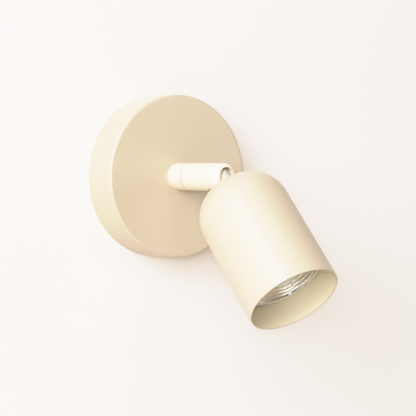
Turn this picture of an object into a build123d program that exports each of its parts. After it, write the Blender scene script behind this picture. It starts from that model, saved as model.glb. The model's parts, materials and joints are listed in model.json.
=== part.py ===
"""Wall reading lamp: a round rose, a short swivelling arm and a bullet shade on a tilting knuckle."""

import os
from math import cos, radians, sin, sqrt

from build123d import *

os.makedirs("parts", exist_ok=True)

# The wall is the XZ plane. The lamp stands out from it along -Y, and +Z is up. Sizes are millimetres.

# Fits shared by all pieces
run_clearance = 0.05
thread_clearance = 0.05
hole_clearance = 0.15
face_gap = 0.3
edge_break = 0.35

# Wall rose, a pressed steel cup that is open towards the wall
rose_diameter = 100.0
rose_depth = 24.2
rose_wall = 1.2
rose_edge_radius = 1.6

# Wall bracket, a stamped steel cross with two bent tabs
bracket_thickness = 2.0
bracket_arm_width = 18.0
bracket_span = 78.0
bracket_hub_diameter = 40.0
bracket_corner_radius = 4.0
bracket_bend_radius = 2.4
cable_hole_diameter = 18.0
fixing_spacing = 52.0
fixing_slot_length = 14.0
fixing_slot_width = 5.0
tab_width = 14.0
tab_height = 13.0
tab_clearance = 0.9
cover_screw_diameter = 4.0
cover_screw_height = 7.5
cover_screw_sink = 0.2
cover_screw_socket = 2.0

# Terminal block with three brass barrels, and the earth point beside it
block_inset = 15.9
block_depth = 16.0
block_height = 13.0
block_side_wall = 1.6
pole_pitch = 8.0
pole_height = 6.5
barrel_diameter = 4.6
barrel_bore_diameter = 2.8
barrel_inset = 1.0
terminal_screw_pitch = 8.0
terminal_screw_diameter = 2.6
terminal_well_diameter = 3.8
terminal_screw_sink = 1.5
pole_groove_width = 1.0
pole_groove_depth = 2.5
block_screw_diameter = 2.5
block_screw_head_diameter = 4.6
block_screw_head_height = 1.6
earth_radius = 14.5
earth_angle = -40.0
earth_screw_diameter = 4.0
earth_head_diameter = 7.0
earth_head_height = 2.6
tag_thickness = 0.8
tag_diameter = 8.4
tag_tongue_width = 3.0
tag_tongue_length = 9.0
tag_sleeve_length = 5.0
tag_sleeve_wall = 0.5
driver_slot_width = 0.8
driver_slot_depth = 1.0

# Flexible leads
lead_diameter = 1.3
lead_spread = 0.95
lead_entry = 2.0
lead_straight = 6.0
lead_level = 8.5
lead_bend_radius = 5.0

# Hollow nipple that clamps the rose to the arm's collar
nipple_diameter = 10.0
nipple_bore_diameter = 7.2
nipple_tail = 1.5
nipple_engagement = 7.0
locknut_across_flats = 14.0
locknut_thickness = 4.0
lock_washer_diameter = 18.0
lock_washer_thickness = 1.0

# Arm: a fixed collar and a barrel that swivels on a hollow bolt
arm_diameter = 16.7
collar_length = 12.9
collar_edge_break = 0.2
barrel_length = 36.1
barrel_web = 5.0
bolt_diameter = 6.0
bolt_bore_diameter = 3.8
bolt_head_height = 2.6
wave_washer_thickness = 0.9
swivel_washer_margin = 0.4
stop_inset = 2.15
stop_pin_diameter = 1.8
stop_pin_depth = 3.0
stop_pin_stand = 1.4
stop_groove_clearance = 0.1
swivel_limit = 165.0

# Knuckle: a round-topped slot in the barrel's end, with a ball-ended stem on a cross screw
slot_width = 9.6
slot_length = 16.0
lip_flat = 0.15
pivot_inset = 4.0
pivot_rise = 1.4
stem_gap = 0.75
stem_flat_depth = 0.6
stem_bore_diameter = 4.0
pivot_screw_diameter = 2.4
pivot_head_diameter = 4.4
pivot_head_height = 1.3
pivot_head_sink = 0.25
pivot_tip_wall = 1.0
friction_washer_diameter = 5.0
head_clearance = 1.2
tilt = 48.0

# Stem end: threaded spigot, spacer, washer and nut inside the shade
spigot_diameter = 6.0
spacer_thickness = 2.2
spacer_diameter = 11.0
stem_washer_thickness = 0.6
stem_washer_diameter = 11.0
stem_nut_across_flats = 10.0
stem_nut_thickness = 3.0

# Lampholder for a two-pin twist lamp, on a bent steel strap
strap_thickness = 1.2
strap_width = 10.0
strap_leg_spread = 25.0
strap_foot_length = 4.6
holder_gap = 4.9
holder_diameter = 28.0
holder_body_height = 7.6
holder_face_thickness = 3.2
holder_screw_spacing = 20.4
holder_screw_diameter = 2.5
holder_screw_head_diameter = 4.0
holder_screw_head_height = 1.4
holder_screw_engagement = 4.0
holder_lead_spacing = 14.0
contact_thickness = 0.6
contact_gap = 0.25
contact_width = 4.2
holder_floor = 4.0

# Reflector lamp with two locking pins
lamp_diameter = 50.0
lamp_length = 45.5
lamp_twist = 42.0
pin_spacing = 10.0
pin_neck_diameter = 3.2
pin_head_diameter = 4.8
pin_head_length = 2.4
pin_clearance = 0.35
lamp_base_diameter = 26.0
lamp_base_length = 17.0
reflector_neck_diameter = 24.0
reflector_belly_inset = 3.0
reflector_belly_rise = 12.6
reflector_lip_wall = 1.0
reflector_floor = 2.2
reflector_throat_diameter = 15.0
rim_thickness = 2.6
rim_width = 1.2
facet_sides = 28
facet_rings = 8
facet_spread = 0.7
cover_glass_thickness = 2.0
cover_glass_ledge = 0.4
cover_glass_sink = 0.4
burner_diameter = 8.4
burner_length = 19.0
burner_clearance = 1.2

# Shade, a spun steel bullet that overhangs the lamp
shade_wall = 1.0
shade_flat_diameter = 12.0
lamp_air_gap = 1.7
lamp_recess = 15.5
shade_lip_radius = 0.35

# Distances out from the wall
collar_front = rose_depth + collar_length
barrel_back = collar_front + face_gap
barrel_end = barrel_back + barrel_length
web_front = barrel_back + barrel_web
bolt_head_back = web_front + wave_washer_thickness + face_gap
bolt_front = bolt_head_back + bolt_head_height
rose_inside = rose_depth - rose_wall
locknut_front = rose_inside - lock_washer_thickness
nipple_back = locknut_front - locknut_thickness - nipple_tail
nipple_front = rose_depth + nipple_engagement
pivot_reach = barrel_end - pivot_inset
slot_back = barrel_end - slot_length

# Radii
rose_radius = rose_diameter / 2
rose_inner_radius = rose_radius - rose_wall
nipple_radius = nipple_diameter / 2
arm_radius = arm_diameter / 2
bolt_radius = bolt_diameter / 2
bore_radius = slot_width / 2
stem_radius = bore_radius - stem_gap
spigot_radius = spigot_diameter / 2
holder_radius = holder_diameter / 2
lamp_radius = lamp_diameter / 2
lead_radius = lead_diameter / 2
shade_radius = lamp_radius + lamp_air_gap + shade_wall
shade_flat_radius = shade_flat_diameter / 2
dome_radius = shade_radius - shade_flat_radius

# Diameters of the lamp's front, from its rim inwards, and of the bowl behind it
cover_glass_diameter = lamp_diameter - 2 * rim_width
reflector_mouth_diameter = cover_glass_diameter - 2 * cover_glass_ledge
reflector_shoulder_diameter = reflector_mouth_diameter + 2 * reflector_lip_wall
reflector_belly_diameter = reflector_shoulder_diameter - 2 * reflector_belly_inset

# Distances from the tilt pivot along the head's axis, towards the mouth
apex = sqrt(arm_radius**2 - bore_radius**2) + pivot_rise + head_clearance
apex_inside = apex + shade_wall
strap_back = apex_inside + spacer_thickness
stem_washer_back = strap_back + strap_thickness
stem_nut_back = stem_washer_back + stem_washer_thickness
spigot_end = stem_nut_back + stem_nut_thickness
holder_back = spigot_end + holder_gap
holder_split = holder_back + holder_body_height
holder_front = holder_split + holder_face_thickness
lamp_back = holder_front + face_gap
reflector_back = lamp_back + lamp_base_length
lamp_front = lamp_back + lamp_length
mouth = lamp_front + lamp_recess

# Frames: square to the wall's normal, along the arm, and along and across the tilted head
pivot = Vector(0, -pivot_reach, pivot_rise)
head_direction = Vector(0, -cos(radians(tilt)), -sin(radians(tilt)))
head_axis = Axis(pivot, head_direction)
arm_section = Plane(origin=(0, 0, 0), x_dir=(1, 0, 0), z_dir=(0, 0, -1))
head_section = Plane(origin=pivot, x_dir=(1, 0, 0), z_dir=(0, sin(radians(tilt)), -cos(radians(tilt))))


def from_wall(distance, x=0, z=0):
    """Plane parallel to the wall that faces into the room."""
    return Plane(origin=(x, -distance, z), x_dir=(1, 0, 0), z_dir=(0, -1, 0))


def along_head(distance):
    """Plane square to the head's axis that faces the shade's mouth."""
    return Plane(origin=pivot + head_direction * distance, x_dir=(1, 0, 0), z_dir=head_direction)


def across_pivot(x, side=1):
    """Plane square to the cross screw that faces away from the arm's middle."""
    return Plane(origin=pivot + Vector(side * x, 0, 0), x_dir=(0, 1, 0), z_dir=(side, 0, 0))


def rim_screw_plane(radius, side):
    """Plane across a rose screw, above the arm for side 1 and below it for side -1."""
    return Plane(origin=(0, -cover_screw_height, side * radius), x_dir=(1, 0, 0), z_dir=(0, 0, side))


# Wall bracket
tab_face = rose_inner_radius - tab_clearance
block_rise = tab_face - block_inset
earth_x = earth_radius * cos(radians(earth_angle))
earth_z = earth_radius * sin(radians(earth_angle))
with BuildPart() as wall_bracket:
    with BuildSketch(from_wall(0)):
        Rectangle(bracket_span, bracket_arm_width)
        Rectangle(tab_width, 2 * tab_face)
        Circle(bracket_hub_diameter / 2)
        Circle(cable_hole_diameter / 2, mode=Mode.SUBTRACT)
        with GridLocations(fixing_spacing, 0, 2, 1):
            SlotOverall(fixing_slot_length, fixing_slot_width, mode=Mode.SUBTRACT)
        with Locations((earth_x, earth_z)):
            Circle(earth_screw_diameter / 2 + thread_clearance, mode=Mode.SUBTRACT)
    extrude(amount=bracket_thickness)
    fillet(wall_bracket.edges().filter_by(Axis.Y).group_by(Axis.X)[0], bracket_corner_radius)
    fillet(wall_bracket.edges().filter_by(Axis.Y).group_by(Axis.X)[-1], bracket_corner_radius)
    with BuildSketch(from_wall(0)):
        with GridLocations(0, 2 * tab_face - bracket_thickness, 1, 2):
            Rectangle(tab_width, bracket_thickness)
    extrude(amount=tab_height)
    bends = wall_bracket.edges().filter_by(Axis.X).group_by(Axis.Y)[-1].sort_by(Axis.Z)
    fillet([bends[0], bends[-1]], bracket_bend_radius)
    with BuildSketch(from_wall(0, z=block_rise)):
        with GridLocations(pole_pitch, 0, 2, 1):
            Circle(block_screw_diameter / 2 + thread_clearance)
    extrude(amount=bracket_thickness, mode=Mode.SUBTRACT)
    for side in (1, -1):
        with BuildSketch(rim_screw_plane(tab_face, side)):
            Circle(cover_screw_diameter / 2 + thread_clearance)
        extrude(amount=-bracket_thickness, mode=Mode.SUBTRACT)
wall_bracket.part.label = "wall_bracket"
export_step(wall_bracket.part, "parts/wall_bracket.step")

# Rose cover: the cup, with its nipple hole and two holes for the rim screws
with BuildPart() as rose_cover:
    with BuildSketch(arm_section):
        with BuildLine():
            nipple_hole = nipple_radius + hole_clearance
            Polyline(
                (nipple_hole, rose_depth),
                (rose_radius, rose_depth),
                (rose_radius, 0),
                (rose_inner_radius, 0),
                (rose_inner_radius, rose_inside),
                (nipple_hole, rose_inside),
                close=True,
            )
        make_face()
    revolve(axis=Axis.Y)
    front_rims = rose_cover.edges().filter_by(GeomType.CIRCLE).group_by(Axis.Y)[0]
    fillet(front_rims.sort_by(SortBy.RADIUS)[-1], rose_edge_radius)
    for side in (1, -1):
        with BuildSketch(rim_screw_plane(rose_radius, side)):
            Circle(cover_screw_diameter / 2 + hole_clearance)
        extrude(amount=-2 * rose_wall, mode=Mode.SUBTRACT)
rose_cover.part.label = "rose_cover"
export_step(rose_cover.part, "parts/rose_cover.step")

# Cover screws: two socket set screws through the rose's rim into the bracket's tabs
cover_screw_length = rose_wall + tab_clearance + bracket_thickness - cover_screw_sink
with BuildPart() as cover_screws:
    for side in (1, -1):
        with BuildSketch(rim_screw_plane(rose_radius - cover_screw_sink, side)):
            Circle(cover_screw_diameter / 2)
        extrude(amount=-cover_screw_length)
        with BuildSketch(rim_screw_plane(rose_radius - cover_screw_sink, side)):
            RegularPolygon(cover_screw_socket / 2, 6, major_radius=False)
        extrude(amount=-cover_screw_length / 2, mode=Mode.SUBTRACT)
cover_screws.part.label = "cover_screws"
export_step(cover_screws.part, "parts/cover_screws.step")

# Terminal block: a moulded three-pole block that stands on the bracket's upper arm
block_width = 2 * pole_pitch + barrel_diameter + 2 * block_side_wall
block_top = bracket_thickness + block_height
pole_level = bracket_thickness + pole_height
with BuildPart() as terminal_block:
    with BuildSketch(from_wall(bracket_thickness, z=block_rise)):
        RectangleRounded(block_width, block_depth, block_side_wall)
    extrude(amount=block_height)
    with BuildSketch(from_wall(block_top, z=block_rise)):
        with GridLocations(pole_pitch, 0, 2, 1):
            Rectangle(pole_groove_width, block_depth)
    extrude(amount=-pole_groove_depth, mode=Mode.SUBTRACT)
    with BuildSketch(from_wall(block_top, z=block_rise)):
        with GridLocations(pole_pitch, terminal_screw_pitch, 3, 2):
            Circle(terminal_well_diameter / 2)
    extrude(amount=-(block_height - pole_height), mode=Mode.SUBTRACT)
    with BuildSketch(from_wall(block_top, z=block_rise)):
        with GridLocations(pole_pitch, 0, 2, 1):
            Circle(block_screw_diameter / 2 + hole_clearance)
    extrude(amount=-block_height, mode=Mode.SUBTRACT)
    with BuildSketch(from_wall(block_top, z=block_rise)):
        with GridLocations(pole_pitch, 0, 2, 1):
            Circle(block_screw_head_diameter / 2 + hole_clearance)
    extrude(amount=-(pole_groove_depth + block_screw_head_height), mode=Mode.SUBTRACT)
    with BuildSketch(Plane((0, -pole_level, block_rise - block_depth / 2), x_dir=(1, 0, 0), z_dir=(0, 0, 1))):
        with GridLocations(pole_pitch, 0, 3, 1):
            Circle(barrel_diameter / 2 + run_clearance)
    extrude(amount=block_depth, mode=Mode.SUBTRACT)
terminal_block.part.label = "terminal_block"
export_step(terminal_block.part, "parts/terminal_block.step")

# Terminal barrels: three brass tubes that join each lead to its supply wire
barrel_span = block_depth - 2 * barrel_inset
with BuildPart() as terminal_barrels:
    with BuildSketch(Plane((0, -pole_level, block_rise - barrel_span / 2), x_dir=(1, 0, 0), z_dir=(0, 0, 1))):
        with GridLocations(pole_pitch, 0, 3, 1):
            Circle(barrel_diameter / 2)
            Circle(barrel_bore_diameter / 2, mode=Mode.SUBTRACT)
    extrude(amount=barrel_span)
    with BuildSketch(from_wall(pole_level, z=block_rise)):
        with GridLocations(pole_pitch, terminal_screw_pitch, 3, 2):
            Circle(terminal_screw_diameter / 2 + thread_clearance)
    extrude(amount=barrel_diameter, mode=Mode.SUBTRACT)
terminal_barrels.part.label = "terminal_barrels"
export_step(terminal_barrels.part, "parts/terminal_barrels.step")

# Terminal screws: six brass grub screws, each with a driver slot
terminal_screw_tip = pole_level + lead_radius + run_clearance
terminal_screw_top = block_top - terminal_screw_sink
with BuildPart() as terminal_screws:
    with BuildSketch(from_wall(terminal_screw_tip, z=block_rise)):
        with GridLocations(pole_pitch, terminal_screw_pitch, 3, 2):
            Circle(terminal_screw_diameter / 2)
    extrude(amount=terminal_screw_top - terminal_screw_tip)
    with BuildSketch(from_wall(terminal_screw_top, z=block_rise)):
        with GridLocations(pole_pitch, terminal_screw_pitch, 3, 2):
            Rectangle(driver_slot_width, terminal_screw_diameter)
    extrude(amount=-driver_slot_depth, mode=Mode.SUBTRACT)
terminal_screws.part.label = "terminal_screws"
export_step(terminal_screws.part, "parts/terminal_screws.step")

# Block screws: two cheese-head screws between the poles, into the bracket
block_screw_seat = block_top - pole_groove_depth - block_screw_head_height
with BuildPart() as block_screws:
    with BuildSketch(from_wall(0, z=block_rise)):
        with GridLocations(pole_pitch, 0, 2, 1):
            Circle(block_screw_diameter / 2)
    extrude(amount=block_screw_seat)
    with BuildSketch(from_wall(block_screw_seat, z=block_rise)):
        with GridLocations(pole_pitch, 0, 2, 1):
            Circle(block_screw_head_diameter / 2)
    extrude(amount=block_screw_head_height)
    with BuildSketch(from_wall(block_screw_seat + block_screw_head_height, z=block_rise)):
        with GridLocations(pole_pitch, 0, 2, 1):
            Rectangle(driver_slot_width, block_screw_head_diameter)
    extrude(amount=-driver_slot_depth, mode=Mode.SUBTRACT)
block_screws.part.label = "block_screws"
export_step(block_screws.part, "parts/block_screws.step")

# Earth tag: a flat ring terminal on the bracket's hub, with a crimped sleeve for its lead
tag_level = bracket_thickness + tag_thickness
sleeve_radius = lead_radius + run_clearance + tag_sleeve_wall
sleeve_level = tag_level + sleeve_radius - tag_sleeve_wall
sleeve_foot = earth_z + tag_tongue_length - tag_sleeve_length
with BuildPart() as earth_tag:
    with BuildSketch(from_wall(bracket_thickness, earth_x, earth_z)):
        Circle(tag_diameter / 2)
        Rectangle(tag_tongue_width, tag_tongue_length, align=(Align.CENTER, Align.MIN))
        Circle(earth_screw_diameter / 2 + hole_clearance, mode=Mode.SUBTRACT)
    extrude(amount=tag_thickness)
    with BuildSketch(Plane((earth_x, -sleeve_level, sleeve_foot), x_dir=(1, 0, 0), z_dir=(0, 0, 1))):
        Circle(sleeve_radius)
    extrude(amount=tag_sleeve_length)
    with BuildSketch(Plane((earth_x, -sleeve_level, sleeve_foot), x_dir=(1, 0, 0), z_dir=(0, 0, 1))):
        Circle(lead_radius + run_clearance)
    extrude(amount=tag_sleeve_length, mode=Mode.SUBTRACT)
earth_tag.part.label = "earth_tag"
export_step(earth_tag.part, "parts/earth_tag.step")

# Earth screw: a cheese-head screw through the tag into the bracket
with BuildPart() as earth_screw:
    with BuildSketch(from_wall(0, earth_x, earth_z)):
        Circle(earth_screw_diameter / 2)
    extrude(amount=tag_level)
    with BuildSketch(from_wall(tag_level, earth_x, earth_z)):
        Circle(earth_head_diameter / 2)
    extrude(amount=earth_head_height)
    with BuildSketch(from_wall(tag_level + earth_head_height, earth_x, earth_z)):
        Rectangle(driver_slot_width, earth_head_diameter)
    extrude(amount=-driver_slot_depth, mode=Mode.SUBTRACT)
earth_screw.part.label = "earth_screw"
export_step(earth_screw.part, "parts/earth_screw.step")

# Base nipple: a hollow threaded tube through the rose's face
with BuildPart() as base_nipple:
    with BuildSketch(from_wall(nipple_back)):
        Circle(nipple_radius)
        Circle(nipple_bore_diameter / 2, mode=Mode.SUBTRACT)
    extrude(amount=nipple_front - nipple_back)
    nipple_rims = base_nipple.edges().filter_by(GeomType.CIRCLE).sort_by(SortBy.RADIUS)
    chamfer(nipple_rims[-2:], edge_break)
base_nipple.part.label = "base_nipple"
export_step(base_nipple.part, "parts/base_nipple.step")

# Lock washer between the rose's face and its nut
with BuildPart() as lock_washer:
    with BuildSketch(from_wall(locknut_front)):
        Circle(lock_washer_diameter / 2)
        Circle(nipple_radius + hole_clearance, mode=Mode.SUBTRACT)
    extrude(amount=lock_washer_thickness)
lock_washer.part.label = "lock_washer"
export_step(lock_washer.part, "parts/lock_washer.step")

# Locknut on the nipple's tail
with BuildPart() as nipple_locknut:
    with BuildSketch(from_wall(locknut_front - locknut_thickness)):
        RegularPolygon(locknut_across_flats / 2, 6, major_radius=False)
        Circle(nipple_radius + thread_clearance, mode=Mode.SUBTRACT)
    extrude(amount=locknut_thickness)
nipple_locknut.part.label = "nipple_locknut"
export_step(nipple_locknut.part, "parts/nipple_locknut.step")

# Swivel collar: the fixed first length of the arm, screwed onto the nipple
stop_circle = arm_radius - stop_inset
with BuildPart() as swivel_collar:
    with BuildSketch(arm_section):
        with BuildLine():
            Polyline(
                (nipple_radius + thread_clearance, rose_depth),
                (arm_radius, rose_depth),
                (arm_radius, collar_front - collar_edge_break),
                (arm_radius - collar_edge_break, collar_front),
                (bolt_radius + thread_clearance, collar_front),
                (bolt_radius + thread_clearance, nipple_front + face_gap),
                (nipple_radius + thread_clearance, nipple_front + face_gap),
                close=True,
            )
        make_face()
    revolve(axis=Axis.Y)
    with BuildSketch(from_wall(collar_front)):
        with Locations((0, stop_circle)):
            Circle(stop_pin_diameter / 2)
    extrude(amount=-stop_pin_depth, mode=Mode.SUBTRACT)
swivel_collar.part.label = "swivel_collar"
export_step(swivel_collar.part, "parts/swivel_collar.step")

# Stop pin: a dowel in the collar that runs in the barrel's arc groove
with BuildPart() as stop_pin:
    with BuildSketch(from_wall(collar_front - stop_pin_depth)):
        with Locations((0, stop_circle)):
            Circle(stop_pin_diameter / 2)
    extrude(amount=stop_pin_depth + face_gap + stop_pin_stand)
stop_pin.part.label = "stop_pin"
export_step(stop_pin.part, "parts/stop_pin.step")

# Swivel bolt: a hollow slotted bolt, screwed into the collar, that the barrel turns on
bolt_head_radius = bore_radius - face_gap
with BuildPart() as swivel_bolt:
    with BuildSketch(arm_section):
        with BuildLine():
            Polyline(
                (bolt_bore_diameter / 2, nipple_front + 2 * face_gap),
                (bolt_radius, nipple_front + 2 * face_gap),
                (bolt_radius, bolt_head_back),
                (bolt_head_radius, bolt_head_back),
                (bolt_head_radius, bolt_front),
                (bolt_bore_diameter / 2, bolt_front),
                close=True,
            )
        make_face()
    revolve(axis=Axis.Y)
    with BuildSketch(from_wall(bolt_front)):
        Rectangle(driver_slot_width, 2 * bolt_head_radius)
    extrude(amount=-driver_slot_depth, mode=Mode.SUBTRACT)
swivel_bolt.part.label = "swivel_bolt"
export_step(swivel_bolt.part, "parts/swivel_bolt.step")

# Thrust washer in the seam between collar and barrel, inside the stop pin
swivel_washer_radius = stop_circle - stop_pin_diameter / 2 - swivel_washer_margin
with BuildPart() as thrust_washer:
    with BuildSketch(from_wall(collar_front)):
        Circle(swivel_washer_radius)
        Circle(bolt_radius + hole_clearance, mode=Mode.SUBTRACT)
    extrude(amount=face_gap)
thrust_washer.part.label = "thrust_washer"
export_step(thrust_washer.part, "parts/thrust_washer.step")

# Friction washer: a split spring ring under the bolt's head
with BuildPart() as swivel_spring:
    with BuildSketch(from_wall(web_front)):
        Circle(bolt_head_radius)
        Circle(bolt_radius + hole_clearance, mode=Mode.SUBTRACT)
        with Locations((0, -bolt_head_radius)):
            Rectangle(driver_slot_width, bolt_head_radius, mode=Mode.SUBTRACT)
    extrude(amount=wave_washer_thickness)
swivel_spring.part.label = "swivel_spring"
export_step(swivel_spring.part, "parts/swivel_spring.step")

# Arm barrel: bored tube with a rounded end, the round-topped knuckle slot, a stop groove
# in its back face and a blind cross hole for the pivot screw
lip_radius = arm_radius - bore_radius - lip_flat
knuckle_depth = pivot_inset + bore_radius
ear_face = sqrt(arm_radius**2 - pivot_rise**2)
pivot_head_top = ear_face - pivot_head_sink
pivot_head_seat = pivot_head_top - pivot_head_height
pivot_tip = ear_face - pivot_tip_wall
with BuildPart() as arm_barrel:
    with BuildSketch(arm_section):
        with BuildLine():
            Polyline(
                (bolt_radius + run_clearance, barrel_back),
                (arm_radius - edge_break, barrel_back),
                (arm_radius, barrel_back + edge_break),
                (arm_radius, barrel_end),
                (bore_radius, barrel_end),
                (bore_radius, web_front),
                (bolt_radius + run_clearance, web_front),
                close=True,
            )
        make_face()
    revolve(axis=Axis.Y)
    end_rims = arm_barrel.edges().filter_by(GeomType.CIRCLE).group_by(Axis.Y)[0]
    fillet(end_rims.sort_by(SortBy.RADIUS)[-1], lip_radius)
    with BuildSketch(from_wall(barrel_end, z=pivot_rise)):
        Circle(bore_radius)
        Rectangle(slot_width, arm_diameter, align=(Align.CENTER, Align.MAX))
    extrude(amount=-knuckle_depth, mode=Mode.SUBTRACT)
    with BuildSketch(Plane.XY):
        with Locations((0, -(slot_back + bore_radius))):
            Circle(bore_radius)
            Rectangle(slot_width, slot_length, align=(Align.CENTER, Align.MAX))
    extrude(amount=-arm_diameter, mode=Mode.SUBTRACT)
    with BuildSketch(across_pivot(bore_radius)):
        Circle(friction_washer_diameter / 2 + hole_clearance)
    extrude(amount=-slot_width, mode=Mode.SUBTRACT)
    with BuildSketch(from_wall(barrel_back)):
        with BuildLine() as stop_arc:
            CenterArc((0, 0), stop_circle, 90 - swivel_limit, 2 * swivel_limit)
        SlotArc(stop_arc.edges()[0], stop_pin_diameter + 2 * stop_groove_clearance)
    extrude(amount=stop_pin_stand + face_gap, mode=Mode.SUBTRACT)
    with BuildSketch(across_pivot(pivot_tip, side=-1)):
        Circle(pivot_screw_diameter / 2 + run_clearance)
    extrude(amount=-(pivot_tip + arm_radius), mode=Mode.SUBTRACT)
    with BuildSketch(across_pivot(pivot_head_seat)):
        Circle(pivot_head_diameter / 2 + hole_clearance)
    extrude(amount=arm_radius, mode=Mode.SUBTRACT)
arm_barrel.part.label = "arm_barrel"
export_step(arm_barrel.part, "parts/arm_barrel.step")

# Pivot screw: enters from the right-hand ear and stops short of the left-hand one's outside
with BuildPart() as pivot_screw:
    with BuildSketch(across_pivot(pivot_head_seat)):
        Circle(pivot_screw_diameter / 2)
    extrude(amount=-(pivot_head_seat + pivot_tip - face_gap))
    with BuildSketch(across_pivot(pivot_head_seat)):
        Circle(pivot_head_diameter / 2)
    extrude(amount=pivot_head_height)
    with BuildSketch(across_pivot(pivot_head_top)):
        Rectangle(driver_slot_width, pivot_head_diameter)
    extrude(amount=-driver_slot_depth, mode=Mode.SUBTRACT)
pivot_screw.part.label = "pivot_screw"
export_step(pivot_screw.part, "parts/pivot_screw.step")

# Tilt stem: ball-ended hollow stem with spot faces round the cross hole and a threaded spigot
stem_flat = stem_radius - stem_flat_depth
with BuildPart() as tilt_stem:
    with BuildSketch(head_section):
        with BuildLine():
            CenterArc((0, 0), stem_radius, -90, 90)
            Polyline(
                (stem_radius, 0),
                (stem_radius, apex),
                (spigot_radius, apex),
                (spigot_radius, spigot_end),
                (0, spigot_end),
                (0, -stem_radius),
            )
        make_face()
    revolve(axis=head_axis)
    with BuildSketch(along_head(-stem_radius)):
        Circle(stem_bore_diameter / 2)
    extrude(amount=stem_radius + spigot_end, mode=Mode.SUBTRACT)
    with BuildSketch(across_pivot(stem_radius, side=-1)):
        Circle(pivot_screw_diameter / 2 + run_clearance)
    extrude(amount=-2 * stem_radius, mode=Mode.SUBTRACT)
    for side in (1, -1):
        with BuildSketch(across_pivot(stem_flat, side)):
            Circle(friction_washer_diameter / 2 + hole_clearance)
        extrude(amount=stem_radius, mode=Mode.SUBTRACT)
tilt_stem.part.label = "tilt_stem"
export_step(tilt_stem.part, "parts/tilt_stem.step")

# Friction washers: one on each spot face, bearing on the slot's walls
with BuildPart() as friction_washers:
    for side in (1, -1):
        with BuildSketch(across_pivot(stem_flat, side)):
            Circle(friction_washer_diameter / 2)
            Circle(pivot_screw_diameter / 2 + run_clearance, mode=Mode.SUBTRACT)
        extrude(amount=bore_radius - stem_flat - run_clearance)
friction_washers.part.label = "friction_washers"
export_step(friction_washers.part, "parts/friction_washers.step")

# Shade: flat top for the stem, quarter-round shoulder, straight side and an open mouth
with BuildPart() as shade:
    with BuildSketch(head_section):
        with BuildLine():
            shoulder = (shade_flat_radius, apex + dome_radius)
            spigot_hole = spigot_radius + hole_clearance
            Polyline((spigot_hole, apex_inside), (spigot_hole, apex), (shade_flat_radius, apex))
            CenterArc(shoulder, dome_radius, -90, 90)
            Polyline(
                (shade_radius, apex + dome_radius),
                (shade_radius, mouth),
                (shade_radius - shade_wall, mouth),
                (shade_radius - shade_wall, apex + dome_radius),
            )
            CenterArc(shoulder, dome_radius - shade_wall, -90, 90)
            Line((shade_flat_radius, apex_inside), (spigot_hole, apex_inside))
        make_face()
    revolve(axis=head_axis)
    lip_edges = shade.edges().filter_by(GeomType.CIRCLE).group_by(head_axis)[-1]
    fillet(lip_edges, shade_lip_radius)
shade.part.label = "shade"
export_step(shade.part, "parts/shade.step")

# Spacer that lifts the lampholder strap off the shade's curved shoulder
with BuildPart() as stem_spacer:
    with BuildSketch(along_head(apex_inside)):
        Circle(spacer_diameter / 2)
        Circle(spigot_radius + hole_clearance, mode=Mode.SUBTRACT)
    extrude(amount=spacer_thickness)
stem_spacer.part.label = "stem_spacer"
export_step(stem_spacer.part, "parts/stem_spacer.step")

# Lampholder strap: a bent strip with two legs whose feet carry the lampholder
leg_x = strap_leg_spread / 2 + strap_thickness / 2
foot_back = holder_back - strap_thickness
with BuildPart() as holder_strap:
    with BuildSketch(head_section):
        with Locations((0, strap_back)):
            Rectangle(2 * leg_x + strap_thickness, strap_thickness, align=(Align.CENTER, Align.MIN))
        with Locations((leg_x, strap_back), (-leg_x, strap_back)):
            Rectangle(strap_thickness, holder_back - strap_back, align=(Align.CENTER, Align.MIN))
        foot_x = leg_x + strap_thickness / 2 - strap_foot_length / 2
        with Locations((foot_x, foot_back), (-foot_x, foot_back)):
            Rectangle(strap_foot_length, strap_thickness, align=(Align.CENTER, Align.MIN))
    extrude(amount=strap_width / 2, both=True)
    with BuildSketch(along_head(strap_back)):
        Circle(spigot_radius + hole_clearance)
    extrude(amount=strap_thickness, mode=Mode.SUBTRACT)
    with BuildSketch(along_head(foot_back)):
        with GridLocations(holder_screw_spacing, 0, 2, 1):
            Circle(holder_screw_diameter / 2 + hole_clearance)
    extrude(amount=strap_thickness, mode=Mode.SUBTRACT)
holder_strap.part.label = "holder_strap"
export_step(holder_strap.part, "parts/holder_strap.step")

# Washer and nut that clamp shade, spacer and strap on the spigot
with BuildPart() as stem_washer:
    with BuildSketch(along_head(stem_washer_back)):
        Circle(stem_washer_diameter / 2)
        Circle(spigot_radius + hole_clearance, mode=Mode.SUBTRACT)
    extrude(amount=stem_washer_thickness)
stem_washer.part.label = "stem_washer"
export_step(stem_washer.part, "parts/stem_washer.step")

with BuildPart() as stem_nut:
    with BuildSketch(along_head(stem_nut_back)):
        RegularPolygon(stem_nut_across_flats / 2, 6, major_radius=False)
        Circle(spigot_radius + thread_clearance, mode=Mode.SUBTRACT)
    extrude(amount=stem_nut_thickness)
stem_nut.part.label = "stem_nut"
export_step(stem_nut.part, "parts/stem_nut.step")

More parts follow.
